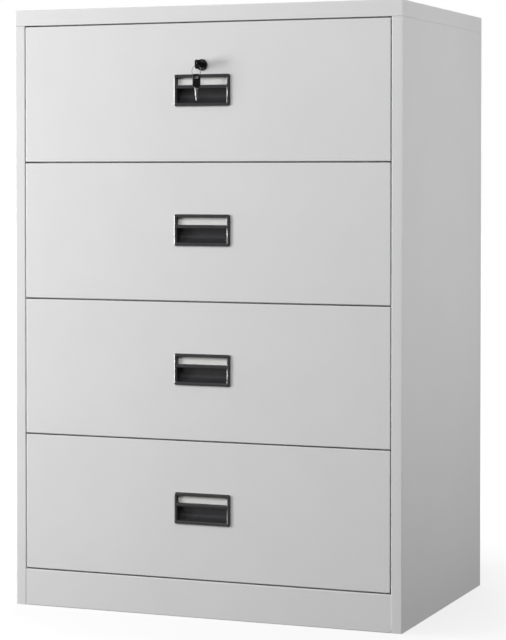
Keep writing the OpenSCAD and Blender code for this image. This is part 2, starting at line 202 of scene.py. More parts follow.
def block(name, low, high):
    """A box between two corners, as the start of a piece or as a cutter."""
    low, high = Vector(low), Vector(high)
    deselect_all()
    bpy.ops.mesh.primitive_cube_add(size=1, location=(low + high) / 2, scale=high - low)
    piece = bpy.context.active_object
    piece.name = name
    bake_place(piece)
    return piece


def rod(name, start, along, length, radius, sides=64):
    """A cylinder from a point along the x, y or z axis, as the start of a piece or as a cutter."""
    turn = {"x": (0, math.pi / 2, 0), "y": (-math.pi / 2, 0, 0), "z": (0, 0, 0)}[along]
    step = {"x": Vector((1, 0, 0)), "y": Vector((0, 1, 0)), "z": Vector((0, 0, 1))}[along]
    deselect_all()
    bpy.ops.mesh.primitive_cylinder_add(
        vertices=sides, radius=radius, depth=length,
        location=Vector(start) + step * length / 2, rotation=turn)
    piece = bpy.context.active_object
    piece.name = name
    bake_place(piece)
    return piece


def flat_edges(mesh):
    """The edges whose two faces lie in one plane."""
    normals = {}
    for face in mesh.polygons:
        for key in face.edge_keys:
            normals.setdefault(key, []).append(face.normal)
    return {key for key, pair in normals.items() if len(pair) == 2 and pair[0].dot(pair[1]) > 0.999}


def edit(piece, kind, test, action, **settings):
    """Selects the faces or edges that pass the test, and runs one edit operator on them.

    A face is tested by its centre and normal, and an edge by its two ends. Edges inside a flat
    stretch are never selected.
    """
    make_active(piece)
    bpy.ops.object.mode_set(mode="EDIT")
    bpy.ops.mesh.select_mode(type=kind)
    bpy.ops.mesh.select_all(action="DESELECT")
    bpy.ops.object.mode_set(mode="OBJECT")
    mesh = piece.data
    if kind == "FACE":
        for face in mesh.polygons:
            face.select = test(face.center, face.normal)
    else:
        flat = flat_edges(mesh)
        for edge in mesh.edges:
            edge.select = edge.key not in flat and test(*(mesh.vertices[i].co for i in edge.vertices))
    bpy.ops.object.mode_set(mode="EDIT")
    action(**settings)
    bpy.ops.object.mode_set(mode="OBJECT")


def at(value, place):
    return abs(value - place) < TINY


def along_axis(a, b, axis):
    """Whether the edge from a to b runs along one axis."""
    return all(at(a[i], b[i]) for i in range(3) if i != axis)


def modify(piece, kind, **settings):
    """Adds a modifier and applies it."""
    make_active(piece)
    modifier = piece.modifiers.new(kind.title(), kind)
    for name, value in settings.items():
        setattr(modifier, name, value)
    bpy.ops.object.modifier_apply(modifier=modifier.name)


def carve(piece, *cutters):
    for cutter in cutters:
        modify(piece, "BOOLEAN", operation="DIFFERENCE", solver="EXACT", object=cutter)
        bpy.data.objects.remove(cutter)


def weld(piece, *others):
    """Unites others with the piece into one closed mesh."""
    for other in others:
        modify(piece, "BOOLEAN", operation="UNION", solver="EXACT", object=other)
        bpy.data.objects.remove(other)


def join(piece, *others):
    """Adds others to the piece as separate shells of one mesh."""
    deselect_all()
    for part in (piece, *others):
        part.select_set(True)
    bpy.context.view_layer.objects.active = piece
    bpy.ops.object.join()


def fold_sheet(piece, thickness):
    """Gives an open folded shell its sheet thickness, inwards."""
    modify(piece, "SOLIDIFY", thickness=thickness, offset=-1, use_even_offset=True)


def copy_piece(piece, name, offset=(0, 0, 0)):
    """A copy with its own mesh, moved by an offset."""
    twin = piece.copy()
    twin.data = piece.data.copy()
    twin.name = name
    twin.data.transform(Matrix.Translation(offset))
    bpy.context.scene.collection.objects.link(twin)
    return twin


def mirrored(piece, name):
    """A copy mirrored to the other side of the cabinet, its faces turned out again."""
    twin = copy_piece(piece, name)
    twin.data.transform(Matrix.Scale(-1, 4, (1, 0, 0)))
    twin.data.flip_normals()
    return twin


def finish_piece(piece, material, slot, body, *nodes, angle=math.radians(35)):
    """Smooths, paints and fastens a finished piece, and hides the CAD nodes that it stands for."""
    bake_place(piece)
    bpy.ops.object.shade_smooth_by_angle(angle=angle)
    modify(piece, "WEIGHTED_NORMAL", keep_sharp=True)
    piece.data.materials.clear()
    piece.data.materials.append(material)
    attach(piece, body)
    if nodes:
        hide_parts(*nodes)
    return piece


# ---------------------------------------------------------------- materials

def linear(hex_colour):
    """The scene-linear RGBA of an sRGB hex colour."""
    values = [int(hex_colour[i:i + 2], 16) / 255 for i in (1, 3, 5)]
    return (*(v / 12.92 if v <= 0.04045 else ((v + 0.055) / 1.055) ** 2.4 for v in values), 1)


def shaded(hex_colour, factor):
    """The linear colour made lighter or darker."""
    return (*(v * factor for v in linear(hex_colour)[:3]), 1)


def add_node(tree, kind, settings=None, links=None):
    """Adds a node. Settings are its own attributes or its inputs' values, and links feed its inputs."""
    node = tree.nodes.new(kind)
    for name, value in (settings or {}).items():
        if isinstance(name, str) and hasattr(node, name):
            setattr(node, name, value)
        else:
            node.inputs[name].default_value = value
    for name, source in (links or {}).items():
        tree.links.new(source, node.inputs[name])
    return node


def per_mm(size):
    """The texture scale that gives features of that many millimetres."""
    return 1 / (size * MM)


def new_material(name, colour, **settings):
    """A material with its shader's constants set; returns it with its tree, shader and coordinates."""
    material = bpy.data.materials.get(name) or bpy.data.materials.new(name)
    material.use_nodes = True
    tree = material.node_tree
    tree.nodes.clear()
    shader = add_node(tree, "ShaderNodeBsdfPrincipled", {"Base Color": linear(colour), **settings})
    add_node(tree, "ShaderNodeOutputMaterial", links={"Surface": shader.outputs[0]})
    place = add_node(tree, "ShaderNodeTexCoord").outputs["Object"]
    return material, tree, shader, place


def noise(tree, place, size, detail=2.0, stretch=(1, 1, 1)):
    """A noise pattern whose grain has that size in millimetres, drawn out by stretch."""
    laid = add_node(tree, "ShaderNodeMapping",
                    {"Scale": [per_mm(size) / s for s in stretch]}, {"Vector": place})
    return add_node(tree, "ShaderNodeTexNoise", {"Scale": 1, "Detail": detail},
                    {"Vector": laid.outputs[0]}).outputs["Fac"]


def vary_colour(tree, shader, pattern, colour, low, high, edges=(0.3, 0.7)):
    """Runs the base colour from low to high times its brightness with a pattern."""
    ramp = add_node(tree, "ShaderNodeMapRange",
                    {"From Min": edges[0], "From Max": edges[1]}, {"Value": pattern})
    mix = add_node(tree, "ShaderNodeMix",
                   {"data_type": "RGBA", 6: shaded(colour, low), 7: shaded(colour, high)},
                   {0: ramp.outputs[0]})
    tree.links.new(mix.outputs[2], shader.inputs["Base Color"])


def vary_roughness(tree, shader, pattern, low, high):
    ramp = add_node(tree, "ShaderNodeMapRange", {"To Min": low, "To Max": high},
                    {"Value": pattern})
    tree.links.new(ramp.outputs[0], shader.inputs["Roughness"])


def raise_bumps(tree, shader, pattern, strength, height):
    """Bumps of that height in millimetres."""
    bump = add_node(tree, "ShaderNodeBump", {"Strength": strength, "Distance": height * MM},
                    {"Height": pattern})
    tree.links.new(bump.outputs[0], shader.inputs["Normal"])


def powder_coat(name, colour):
    """Polyester powder coat baked on steel: satin, with a faint orange peel that breaks up glints.

    The peel's waves are 2.5 mm across, a little coarser than real ones, so that they show.
    """
    material, tree, shader, place = new_material(name, colour, Roughness=0.42)
    vary_colour(tree, shader, noise(tree, place, 140, 3), colour, 0.985, 1.01)
    vary_roughness(tree, shader, noise(tree, place, 35, 4), 0.38, 0.47)
    raise_bumps(tree, shader, noise(tree, place, 2.5, 1), 0.12, 0.05)
    return material


def moulded_abs(name, colour, roughness, specular=0.5):
    """Injection-moulded ABS: dark and satin, with the slight waves of a moulded skin."""
    material, tree, shader, place = new_material(name, colour, Roughness=roughness)
    shader.inputs["Specular IOR Level"].default_value = specular
    vary_colour(tree, shader, noise(tree, place, 9, 3), colour, 0.9, 1.1)
    vary_roughness(tree, shader, noise(tree, place, 4, 3), roughness * 0.8, roughness * 1.3)
    raise_bumps(tree, shader, noise(tree, place, 9, 1), 0.03, 0.04)
    return material


def zinc_plate(name, colour):
    """Bright zinc plating on rolled steel: cool grey, clouded, with faint rolling lines along y."""
    material, tree, shader, place = new_material(name, colour, Roughness=0.36, Metallic=1.0)
    vary_colour(tree, shader, noise(tree, place, 14, 5), colour, 0.82, 1.05)
    lines = noise(tree, place, 1.2, 2, stretch=(1, 40, 1))
    vary_roughness(tree, shader, lines, 0.28, 0.45)
    raise_bumps(tree, shader, lines, 0.1, 0.01)
    return material


def turned_steel(name, colour, roughness):
    """Turned, polished or plated metal with fine scratches, for balls, screws, blades and the ring."""
    material, tree, shader, place = new_material(name, colour, Roughness=roughness, Metallic=1.0)
    scratches = noise(tree, place, 0.4, 2, stretch=(8, 1, 1))
    vary_colour(tree, shader, noise(tree, place, 3, 3), colour, 0.92, 1.04)
    vary_roughness(tree, shader, scratches, roughness * 0.75, roughness * 1.35)
    return material


def black_chrome(name, colour):
    """Black chrome on die-cast zinc: a dark mirror with a soft haze."""
    material, tree, shader, place = new_material(name, colour, Roughness=0.2, Metallic=1.0)
    vary_colour(tree, shader, noise(tree, place, 5, 3), colour, 0.8, 1.2)
    vary_roughness(tree, shader, noise(tree, place, 1.5, 4), 0.14, 0.28)
    return material


def plain_card(name, colour):
    """Uncoated card: matt, faintly clouded, with short fibres."""
    material, tree, shader, place = new_material(name, colour, Roughness=0.85)
    shader.inputs["Specular IOR Level"].default_value = 0.2
    vary_colour(tree, shader, noise(tree, place, 5, 5), colour, 0.96, 1.03)
    raise_bumps(tree, shader, noise(tree, place, 0.6, 3, stretch=(3, 1, 1)), 0.3, 0.03)
    return material


def studio_floor(name):
    """Matt sweep that glows from within so that it stays pale. Its glow is dimmed near the cabinet as a
    painted shade round the cabinet's foot, and is as pale as the backdrop far away.
    """
    colour = "#5a5a5a"
    material, tree, shader, place = new_material(name, colour, Roughness=0.9)
    shader.inputs["Emission Color"].default_value = (1, 1, 1, 1)
    away = add_node(tree, "ShaderNodeVectorMath", {"operation": "LENGTH"}, {0: place})
    # Painted shade: the glow is weakest within half a metre of the middle and reaches full white 1.4 m
    # out, so the floor looks shaded round the cabinet's foot.
    painted_shade_glow = add_node(tree, "ShaderNodeMapRange",
                    {"From Min": 0.5, "From Max": 1.4, "To Min": 0.79, "To Max": 1.0},
                    {"Value": away.outputs["Value"]})
    tree.links.new(painted_shade_glow.outputs[0], shader.inputs["Emission Strength"])
    vary_colour(tree, shader, noise(tree, place, 900, 2), colour, 0.99, 1.0)
    return material


MATERIALS = {}


def make_materials(finish):
    MATERIALS.update(
        paint=powder_coat("powder_coat_light_grey", finish.paint),
        inside=powder_coat("powder_coat_inside", finish.inside),
        pull=moulded_abs("moulded_abs_black", finish.pull, 0.3, specular=0.25),
        key_head=moulded_abs("moulded_abs_key_head", finish.key_head, 0.5, specular=0.08),
        card=plain_card("uncoated_card", finish.card),
        lock=black_chrome("black_chrome_zinc", finish.lock),
        nickel=turned_steel("nickel_plated_brass", finish.nickel, 0.48),
        steel=turned_steel("polished_steel", finish.zinc, 0.18),
        zinc=zinc_plate("zinc_plated_steel", finish.zinc),
    )


# ---------------------------------------------------------------- carcass

def side_panel(sheets):
    """The right side: wall, rounded stile with its return, rear flange, floor flange and tab."""
    low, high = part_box("right_side_panel")
    return_depth, flange_step = 42 * MM, 4 * MM
    seam, foot_width, tab_height = 0.5 * MM, 20 * MM, 20 * MM
    seam_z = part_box("top_panel")[0].z - seam
    steps = {"offset": sheets.cabinet_fold, "segments": sheets.fold_steps, "affect": "EDGES"}
    panel = block("side_panel_right", low, (high.x, high.y, seam_z))
    edit(panel, "FACE", lambda c, n: abs(n.z) > 0.9 or n.x < -0.9, bpy.ops.mesh.delete,
         type="FACE")
    # The return runs back from the stile's inner edge.
    edit(panel, "EDGE", lambda a, b: at(a.x, low.x) and at(b.x, low.x) and at(a.y, low.y)
         and along_axis(a, b, 2), bpy.ops.mesh.extrude_region_move,
         TRANSFORM_OT_translate={"value": (0, return_depth, 0)})
    # The rear flange is narrower than the stile.
    edit(panel, "EDGE", lambda a, b: at(a.x, low.x) and at(b.x, low.x) and at(a.y, high.y)
         and along_axis(a, b, 2), bpy.ops.transform.translate, value=(flange_step, 0, 0))
    edit(panel, "EDGE", lambda a, b: along_axis(a, b, 2)
         and (at(a.x, high.x) or (at(a.x, low.x) and at(a.y, low.y))),
         bpy.ops.mesh.bevel, **steps)
    fold_sheet(panel, sheets.thickness)
    t = sheets.thickness
    foot = block("foot", (high.x - foot_width, low.y + 2 * t, 0), (high.x - t, high.y - 2 * t, t))
    tab = block("tab", (high.x - 2 * t, low.y + 6 * t, seam_z - tab_height),
                (high.x - t, high.y - 6 * t, high.z))
    join(panel, foot, tab)
    return panel


class CABINET_OT_sides(bpy.types.Operator):
    """Folds the two side panels with their stiles"""

    bl_idname = "cabinet.sides"
    bl_label = "Side panels"

    def execute(self, context):
        right = side_panel(context.scene.cabinet_sheets)
        left = mirrored(right, "side_panel_left")
        finish_piece(right, MATERIALS["paint"], "cabinet_paint", "cabinet", "right_side_panel")
        finish_piece(left, MATERIALS["paint"], "cabinet_paint", "cabinet", "left_side_panel")
        return {"FINISHED"}


class CABINET_OT_top(bpy.types.Operator):
    """Folds the top panel with its rim"""

    bl_idname = "cabinet.top"
    bl_label = "Top panel"

    def execute(self, context):
        sheets = context.scene.cabinet_sheets
        low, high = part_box("top_panel")
        top = block("top_panel_shell", low, high)
        edit(top, "EDGE", lambda a, b: not (at(a.z, low.z) and at(b.z, low.z)),
             bpy.ops.mesh.bevel, offset=sheets.cabinet_fold, segments=sheets.fold_steps,
             affect="EDGES")
        edit(top, "FACE", lambda c, n: n.z < -0.9, bpy.ops.mesh.delete, type="FACE")
        fold_sheet(top, sheets.thickness)
        finish_piece(top, MATERIALS["paint"], "cabinet_paint", "cabinet", "top_panel")
        return {"FINISHED"}


class CABINET_OT_plinth(bpy.types.Operator):
    """Folds the plinth's channel"""

    bl_idname = "cabinet.plinth"
    bl_label = "Plinth"

    def execute(self, context):
        sheets = context.scene.cabinet_sheets
        low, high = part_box("plinth")
        plinth = block("plinth_channel", low, high)
        edit(plinth, "FACE", lambda c, n: abs(n.x) > 0.9 or n.y > 0.9, bpy.ops.mesh.delete,
             type="FACE")
        edit(plinth, "EDGE", lambda a, b: along_axis(a, b, 0) and at(a.y, low.y),
             bpy.ops.mesh.bevel, offset=sheets.cabinet_fold, segments=sheets.fold_steps,
             affect="EDGES")
        fold_sheet(plinth, sheets.thickness)
        finish_piece(plinth, MATERIALS["paint"], "cabinet_paint", "cabinet", "plinth")
        return {"FINISHED"}


# ---------------------------------------------------------------- drawers

def lock_axis():
    """The middle of the lock's housing, on the front plane."""
    low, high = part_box("lock_housing")
    return Vector(((low.x + high.x) / 2, FRONT, (low.z + high.z) / 2))


class CABINET_OT_fronts(bpy.types.Operator):
    """Folds the drawer fronts, with openings for the handles and the lock"""

    bl_idname = "cabinet.fronts"
    bl_label = "Drawer fronts"

    def execute(self, context):
        sheets = context.scene.cabinet_sheets
        opening_inset, lock_hole = 3.8 * MM, 9.6 * MM
        for n in DRAWERS:
            low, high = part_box(f"drawer_{n}_front")
            front = block(f"drawer_{n}_folded_front", low, high)
            edit(front, "EDGE", lambda a, b: not (at(a.y, high.y) and at(b.y, high.y)),
                 bpy.ops.mesh.bevel, offset=sheets.front_fold, segments=sheets.fold_steps,
                 affect="EDGES")
            edit(front, "FACE", lambda c, nrm: nrm.y > 0.9, bpy.ops.mesh.delete, type="FACE")
            fold_sheet(front, sheets.thickness)
            handle_low, handle_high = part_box(f"drawer_{n}_handle")
            inset = Vector((opening_inset, 0, opening_inset))
            first, last = handle_low + inset, handle_high - inset
            carve(front, block("opening", (first.x, FRONT - MM, first.z),
                               (last.x, FRONT + 3 * MM, last.z)))
            if n == DRAWERS[0]:
                carve(front, rod("hole", lock_axis() - Vector((0, MM, 0)), "y", 4 * MM, lock_hole))
            finish_piece(front, MATERIALS["paint"], "cabinet_paint", f"drawer_{n}",
                         f"drawer_{n}_front", angle=math.radians(20))
        return {"FINISHED"}


def tray(n, sheets):
    """One folded tray with a hem along its walls and ribs pressed up in its floor."""
    low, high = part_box(f"drawer_{n}_tray")
    t = sheets.thickness
    hem_width, hem_height, hem_start = 2.2 * MM, 4.8 * MM, 20 * MM
    rib_start, rib_end = 60 * MM, 45 * MM
    rib_count, rib_width, rib_height, rib_corner = 8, 14 * MM, 2.2 * MM, 6.5 * MM
    shell = block(f"drawer_{n}_folded_tray", low, high)
    edit(shell, "FACE", lambda c, nrm: nrm.z > 0.9 or nrm.y < -0.9, bpy.ops.mesh.delete,
         type="FACE")
    edit(shell, "EDGE", lambda a, b: (at(a.z, low.z) and at(b.z, low.z)
                                      and not (at(a.y, low.y) and at(b.y, low.y)))
         or (along_axis(a, b, 2) and at(a.y, high.y)),
         bpy.ops.mesh.bevel, offset=sheets.tray_fold, segments=sheets.fold_steps, affect="EDGES")
    fold_sheet(shell, t)
    ribs = []
    for side in (-1, 1):
        hem_top = high.z - 0.2 * MM
        hem = block("hem", (0, low.y + hem_start, hem_top - hem_height),
                    (hem_width, high.y - 4 * MM, hem_top))
        edit(hem, "EDGE", lambda a, b: along_axis(a, b, 1), bpy.ops.mesh.bevel,
             offset=0.9 * MM, segments=3, affect="EDGES")
        middle = side * (high.x - t - hem_width / 2)
        hem.data.transform(Matrix.Translation((middle - hem_width / 2, 0, 0)))
        ribs.append(hem)
    step = (high.x - low.x) / rib_count
    for i in range(rib_count):
        x = low.x + (i + 0.5) * step
        rib_top = low.z + t + rib_height
        rib = block("rib", (x - rib_width / 2, low.y + rib_start, low.z + t),
                    (x + rib_width / 2, high.y - rib_end, rib_top))
        edit(rib, "EDGE", lambda a, b: along_axis(a, b, 2), bpy.ops.mesh.bevel,
             offset=rib_corner, segments=6, affect="EDGES")
        edit(rib, "EDGE", lambda a, b: at(a.z, rib_top) and at(b.z, rib_top),
             bpy.ops.mesh.bevel, offset=1.6 * MM, segments=3, affect="EDGES")
        ribs.append(rib)
    join(shell, *ribs)
    return shell


class CABINET_OT_trays(bpy.types.Operator):
    """Folds the drawer trays"""

    bl_idname = "cabinet.trays"
    bl_label = "Drawer trays"

    def execute(self, context):
        first = tray(DRAWERS[0], context.scene.cabinet_sheets)
        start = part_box(f"drawer_{DRAWERS[0]}_tray")[0]
        for n in DRAWERS:
            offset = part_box(f"drawer_{n}_tray")[0] - start
            piece = first if n == DRAWERS[0] else copy_piece(
                first, f"drawer_{n}_folded_tray", offset)
            finish_piece(piece, MATERIALS["inside"], "inside_paint", f"drawer_{n}",
                         f"drawer_{n}_tray")
        return {"FINISHED"}


def handle(settings):
    """The pull of the first drawer: frame, label window, and a scooped recess with a finger pocket."""
    low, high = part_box(f"drawer_{DRAWERS[0]}_handle")
    bar, margin, wall, partition = settings.bar, 4 * MM, 2 * MM, 1.5 * MM
    left, right = low.x + bar, high.x - bar
    window_high = high.z - bar
    window_low = window_high - settings.window
    window_back = FRONT + 3.5 * MM
    mouth_low, mouth_high = low.z + bar, window_low - bar
    recess_back = high.y - wall
    radius = recess_back - FRONT + 4 * MM
    scoop_z = mouth_low + radius
    face = low.y + settings.slope_height
    out = low.y - MM

    pull = block("drawer_1_pull", (low.x, face, low.z), (high.x, FRONT, high.z))
    edit(pull, "EDGE", lambda a, b: along_axis(a, b, 1), bpy.ops.mesh.bevel,
         offset=settings.corner, segments=8, affect="EDGES")
    weld(pull, block("body", (low.x + margin, FRONT - wall, low.z + margin),
                     (high.x - margin, high.y, high.z - margin)))
    scoop = rod("scoop", (left, recess_back - radius, scoop_z), "x", right - left, radius, 96)
    edit(scoop, "FACE", lambda c, n: True, bpy.ops.mesh.bisect, plane_co=(0, 0, scoop_z),
         plane_no=(0, 0, 1), use_fill=True, clear_outer=True)
    carve(pull,
          block("window", (left, out, window_low), (right, window_back, window_high)),
          scoop,
          block("recess", (left, out, scoop_z), (right, recess_back, mouth_high)),
          block("lip", (left, out, mouth_low), (right, recess_back - radius, scoop_z)),
          block("pocket", (left, window_back + partition, scoop_z),
                (right, recess_back, window_high)))
    # The frame's face stands out from a slope along all its edges.
    edit(pull, "FACE", lambda c, n: n.y < -0.9 and at(c.y, face), bpy.ops.mesh.inset,
         thickness=settings.slope_width, depth=settings.slope_height)
    edit(pull, "EDGE", lambda a, b: (at(a.y, low.y) and at(b.y, low.y))
         or (at(a.y, face) and at(b.y, face)),
         bpy.ops.mesh.bevel, offset=0.25 * MM, segments=2, affect="EDGES")
    return pull


class CABINET_OT_handles(bpy.types.Operator):
    """Moulds the handles and lays their label cards in"""

    bl_idname = "cabinet.handles"
    bl_label = "Handles"

    def execute(self, context):
        first = handle(context.scene.cabinet_handles)
        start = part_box(f"drawer_{DRAWERS[0]}_handle")[0]
        low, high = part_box(f"drawer_{DRAWERS[0]}_label_card")
        card = block("drawer_1_card", low, high)
        edit(card, "EDGE", lambda a, b: along_axis(a, b, 1), bpy.ops.mesh.bevel,
             offset=0.8 * MM, segments=3, affect="EDGES")
        for n in DRAWERS:
            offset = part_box(f"drawer_{n}_handle")[0] - start
            lower = n != DRAWERS[0]
            pull = copy_piece(first, f"drawer_{n}_pull", offset) if lower else first
            label = copy_piece(card, f"drawer_{n}_card", offset) if lower else card
            finish_piece(pull, MATERIALS["pull"], "handle_plastic", f"drawer_{n}",
                         f"drawer_{n}_handle")
            finish_piece(label, MATERIALS["card"], "label_card", f"drawer_{n}",
                         f"drawer_{n}_label_card")
        return {"FINISHED"}


# ---------------------------------------------------------------- lock and keys

class CABINET_OT_lock(bpy.types.Operator):
    """Turns the lock's housing and plug"""

    bl_idname = "cabinet.lock"
    bl_label = "Lock"

    def execute(self, context):
        low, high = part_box("lock_housing")
        axis = lock_axis()
        rim_r, barrel_r, seat_r, bore_r = (high.x - low.x) / 2, 9.5 * MM, 7.3 * MM, 6.05 * MM
        seat_depth, keyway_half, keyway_reach, keyway_end = 2.7 * MM, 1.1 * MM, 4.1 * MM, 19 * MM
        rim = rod("lock_rim", (axis.x, low.y, axis.z), "y", FRONT - low.y, rim_r, 96)
        barrel_length = high.y - FRONT + MM
        weld(rim, rod("barrel", (axis.x, FRONT - MM, axis.z), "y", barrel_length, barrel_r, 96))
        # The rim falls off inwards to the seat's edge, along a cone that starts in front of it.
        cone_r, narrowing = 13.3 * MM, 0.55
        slope = rod("slope", (axis.x, low.y - MM, axis.z), "y", 2 * MM, cone_r, 96)
        edit(slope, "FACE", lambda c, n: n.y > 0.9, bpy.ops.transform.resize,
             value=(narrowing, 1, narrowing), center_override=(axis.x, 0, axis.z))
        carve(rim, slope,
              rod("bore", (axis.x, low.y - MM, axis.z), "y", high.y - low.y + 2 * MM, bore_r),
              rod("seat", (axis.x, low.y - MM, axis.z), "y", seat_depth + MM, seat_r))
        edit(rim, "EDGE", lambda a, b: at(a.y, low.y) and at(b.y, low.y), bpy.ops.mesh.bevel,
             offset=0.5 * MM, segments=3, affect="EDGES")
        finish_piece(rim, MATERIALS["lock"], "lock_metal", "drawer_1", "lock_housing")

        low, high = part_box("lock_plug")
        head_r, head_height, core_r = 7.2 * MM, 1.7 * MM, 6 * MM
        plug = rod("lock_cylinder", (axis.x, low.y, axis.z), "y", head_height, head_r)
        weld(plug, rod("core", (axis.x, low.y + MM, axis.z), "y", high.y - low.y - MM, core_r))
        edit(plug, "EDGE", lambda a, b: at(a.y, low.y) and at(b.y, low.y), bpy.ops.mesh.bevel,
             offset=0.5 * MM, segments=3, affect="EDGES")
        carve(plug, block("keyway", (axis.x - keyway_half, low.y - MM, axis.z - keyway_reach),
                          (axis.x + keyway_half, FRONT + keyway_end, axis.z + keyway_reach)))
        finish_piece(plug, MATERIALS["lock"], "lock_metal", "lock_plug", "lock_plug")
        return {"FINISHED"}


def key_head():
    """A moulded key head in the XZ plane, its end at the origin and its collar at the other end."""
    half, length, t = 9.75 * MM, 27.5 * MM, 1.25 * MM
    slot_half, slot_top, slot_bottom = 4.25 * MM, -4.8 * MM, -9.6 * MM
    rim, pressed = 1.5 * MM, 0.35 * MM
    head = block("head", (-half, -t, -length), (half, t, 0))
    edit(head, "EDGE", lambda a, b: along_axis(a, b, 1), bpy.ops.mesh.bevel,
         offset=5.5 * MM, segments=8, affect="EDGES")
    edit(head, "FACE", lambda c, n: abs(n.y) > 0.9, bpy.ops.mesh.inset, thickness=rim, depth=0)
    # The middle of each side is pressed in, within a raised rim.
    edit(head, "FACE", lambda c, n: abs(n.y) > 0.9 and abs(c.x) < MM, bpy.ops.mesh.inset,
         thickness=0.3 * MM, depth=-pressed)
    collar = block("collar", (-5.6 * MM, -t * 0.9, -30 * MM), (5.6 * MM, t * 0.9, -26 * MM))
    bridge = block("bridge", (-7 * MM, -t * 0.8, -15.5 * MM), (7 * MM, t * 0.8, -13.5 * MM))
    weld(head, collar, bridge)
    slot = block("slot", (-slot_half, -2 * t, slot_bottom), (slot_half, 2 * t, slot_top))
    edit(slot, "EDGE", lambda a, b: along_axis(a, b, 1), bpy.ops.mesh.bevel,
         offset=1.2 * MM, segments=4, affect="EDGES")
    carve(head, slot)
    modify(head, "BEVEL", width=0.3 * MM, segments=2, limit_method="ANGLE",
           angle_limit=math.radians(50))
    return head


def key_blade():
    """A flat blade that narrows to its tip, with a groove along each side and cuts in one edge."""
    half, t, top, length = 3.9 * MM, 1.0 * MM, -28 * MM, 28.8 * MM
    tip = top - length
    tip_width, groove_half_depth, cut_radius, taper = 0.35, 0.35 * MM, 2.2 * MM, 0.085
    blade = block("blade", (-half, -t, tip), (half, t, top))
    edit(blade, "EDGE", lambda a, b: along_axis(a, b, 1) and at(a.z, tip), bpy.ops.mesh.bevel,
         offset=2.6 * MM, segments=1, affect="EDGES")
    edit(blade, "EDGE", lambda a, b: along_axis(a, b, 1) and a.z < tip + 4 * MM,
         bpy.ops.transform.resize, value=(tip_width, 1, 1), center_override=(0, 0, tip))
    cuts = [block("groove", (-1.4 * MM, s * t - groove_half_depth, tip - MM),
                  (-0.3 * MM, s * t + groove_half_depth, top - 3 * MM)) for s in (-1, 1)]
    for i, depth in enumerate((1.9, 1.1, 2.2, 1.5)):
        along = (8 + 4 * i) * MM
        middle = half - along * taper + cut_radius - depth * MM
        cuts.append(rod("cut", (middle, -2 * t, top - along), "y", 4 * t, cut_radius, 6))
    carve(blade, *cuts)
    modify(blade, "BEVEL", width=0.12 * MM, segments=1, limit_method="ANGLE",
           angle_limit=math.radians(50))
    return blade


class CABINET_OT_keys(bpy.types.Operator):
    """Makes the two keys and the ring between them"""

    bl_idname = "cabinet.keys"
    bl_label = "Keys and ring"

    def execute(self, context):
        axis = lock_axis()
        spare_turn, ring_turn = math.radians(56.5), math.radians(-15)
        wire_r, coil_r, coil_step = 0.7 * MM, 0.36 * MM, 0.33 * MM
        key_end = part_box("lock_key")[0].y
        spare_low, spare_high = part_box("spare_key")
        spare_middle = (spare_low + spare_high) / 2
        # The first key points into the lock, and the spare one hangs turned to the left.
        places = {
            "lock_key": Matrix.Translation((axis.x, key_end, axis.z))
            @ Matrix.Rotation(math.pi / 2, 4, "X") @ Matrix.Rotation(math.pi / 2, 4, "Z"),
            "spare_key": Matrix.Translation((spare_middle.x, spare_middle.y, spare_high.z))
            @ Matrix.Rotation(spare_turn, 4, "Z"),
        }
        head, blade = key_head(), key_blade()
        for node, place in places.items():
            for part, kind, material, slot in ((head, "head", "key_head", "key_plastic"),
                                               (blade, "blade", "nickel", "ring_wire")):
                piece = copy_piece(part, f"{node}_{kind}")
                piece.data.transform(place)
                nodes = (node,) if kind == "head" else ()
                finish_piece(piece, MATERIALS[material], slot, node, *nodes)
        bpy.data.objects.remove(head)
        bpy.data.objects.remove(blade)

        low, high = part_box("key_ring")
        radius = (high.z - low.z) / 2
        coils = []
        for side in (-1, 1):
            deselect_all()
            bpy.ops.mesh.primitive_torus_add(
                major_segments=96, minor_segments=12, major_radius=radius - wire_r,
                minor_radius=coil_r, location=(0, 0, side * coil_step))
            coil = bpy.context.active_object
            bake_place(coil)
            coils.append(coil)
        ring = coils[0]
        ring.name = "split_ring"
        join(ring, coils[1])
        turn = Matrix.Rotation(ring_turn, 4, "Z") @ Matrix.Rotation(math.pi / 2, 4, "X")
        ring.data.transform(Matrix.Translation((low + high) / 2) @ turn)
        finish_piece(ring, MATERIALS["nickel"], "ring_wire", "key_ring", "key_ring")
        return {"FINISHED"}


# ---------------------------------------------------------------- the rest of the frame

class CABINET_OT_finishes(bpy.types.Operator):
    """Gives the carried-over frame nodes their finishes"""

    bl_idname = "cabinet.finishes"
    bl_label = "Finishes"

    def execute(self, context):
        by_slot = {"cabinet_paint": "paint", "inside_paint": "inside", "zinc_plate": "zinc",
                   "screw_steel": "steel", "handle_plastic": "pull", "label_card": "card",
                   "lock_metal": "lock", "key_plastic": "key_head", "ring_wire": "nickel"}
        for row in frame["record"]["subparts"]:
            node = frame["nodes"][row["node"]]
            for slot in node.material_slots:
                slot.material = MATERIALS[by_slot[row["material_slot"]]]
        return {"FINISHED"}


# ---------------------------------------------------------------- stage

def softbox(name, place, target, size, power):
    """A large rectangular light that faces a point."""
    light = bpy.data.lights.new(name, "AREA")
    light.shape = "RECTANGLE"
    light.size, light.size_y = size
    light.energy = power
    lamp = bpy.data.objects.new(name, light)
    lamp.location = place
    lamp.rotation_euler = (Vector(target) - Vector(place)).to_track_quat("-Z", "Y").to_euler()
    bpy.context.scene.collection.objects.link(lamp)
    return lamp


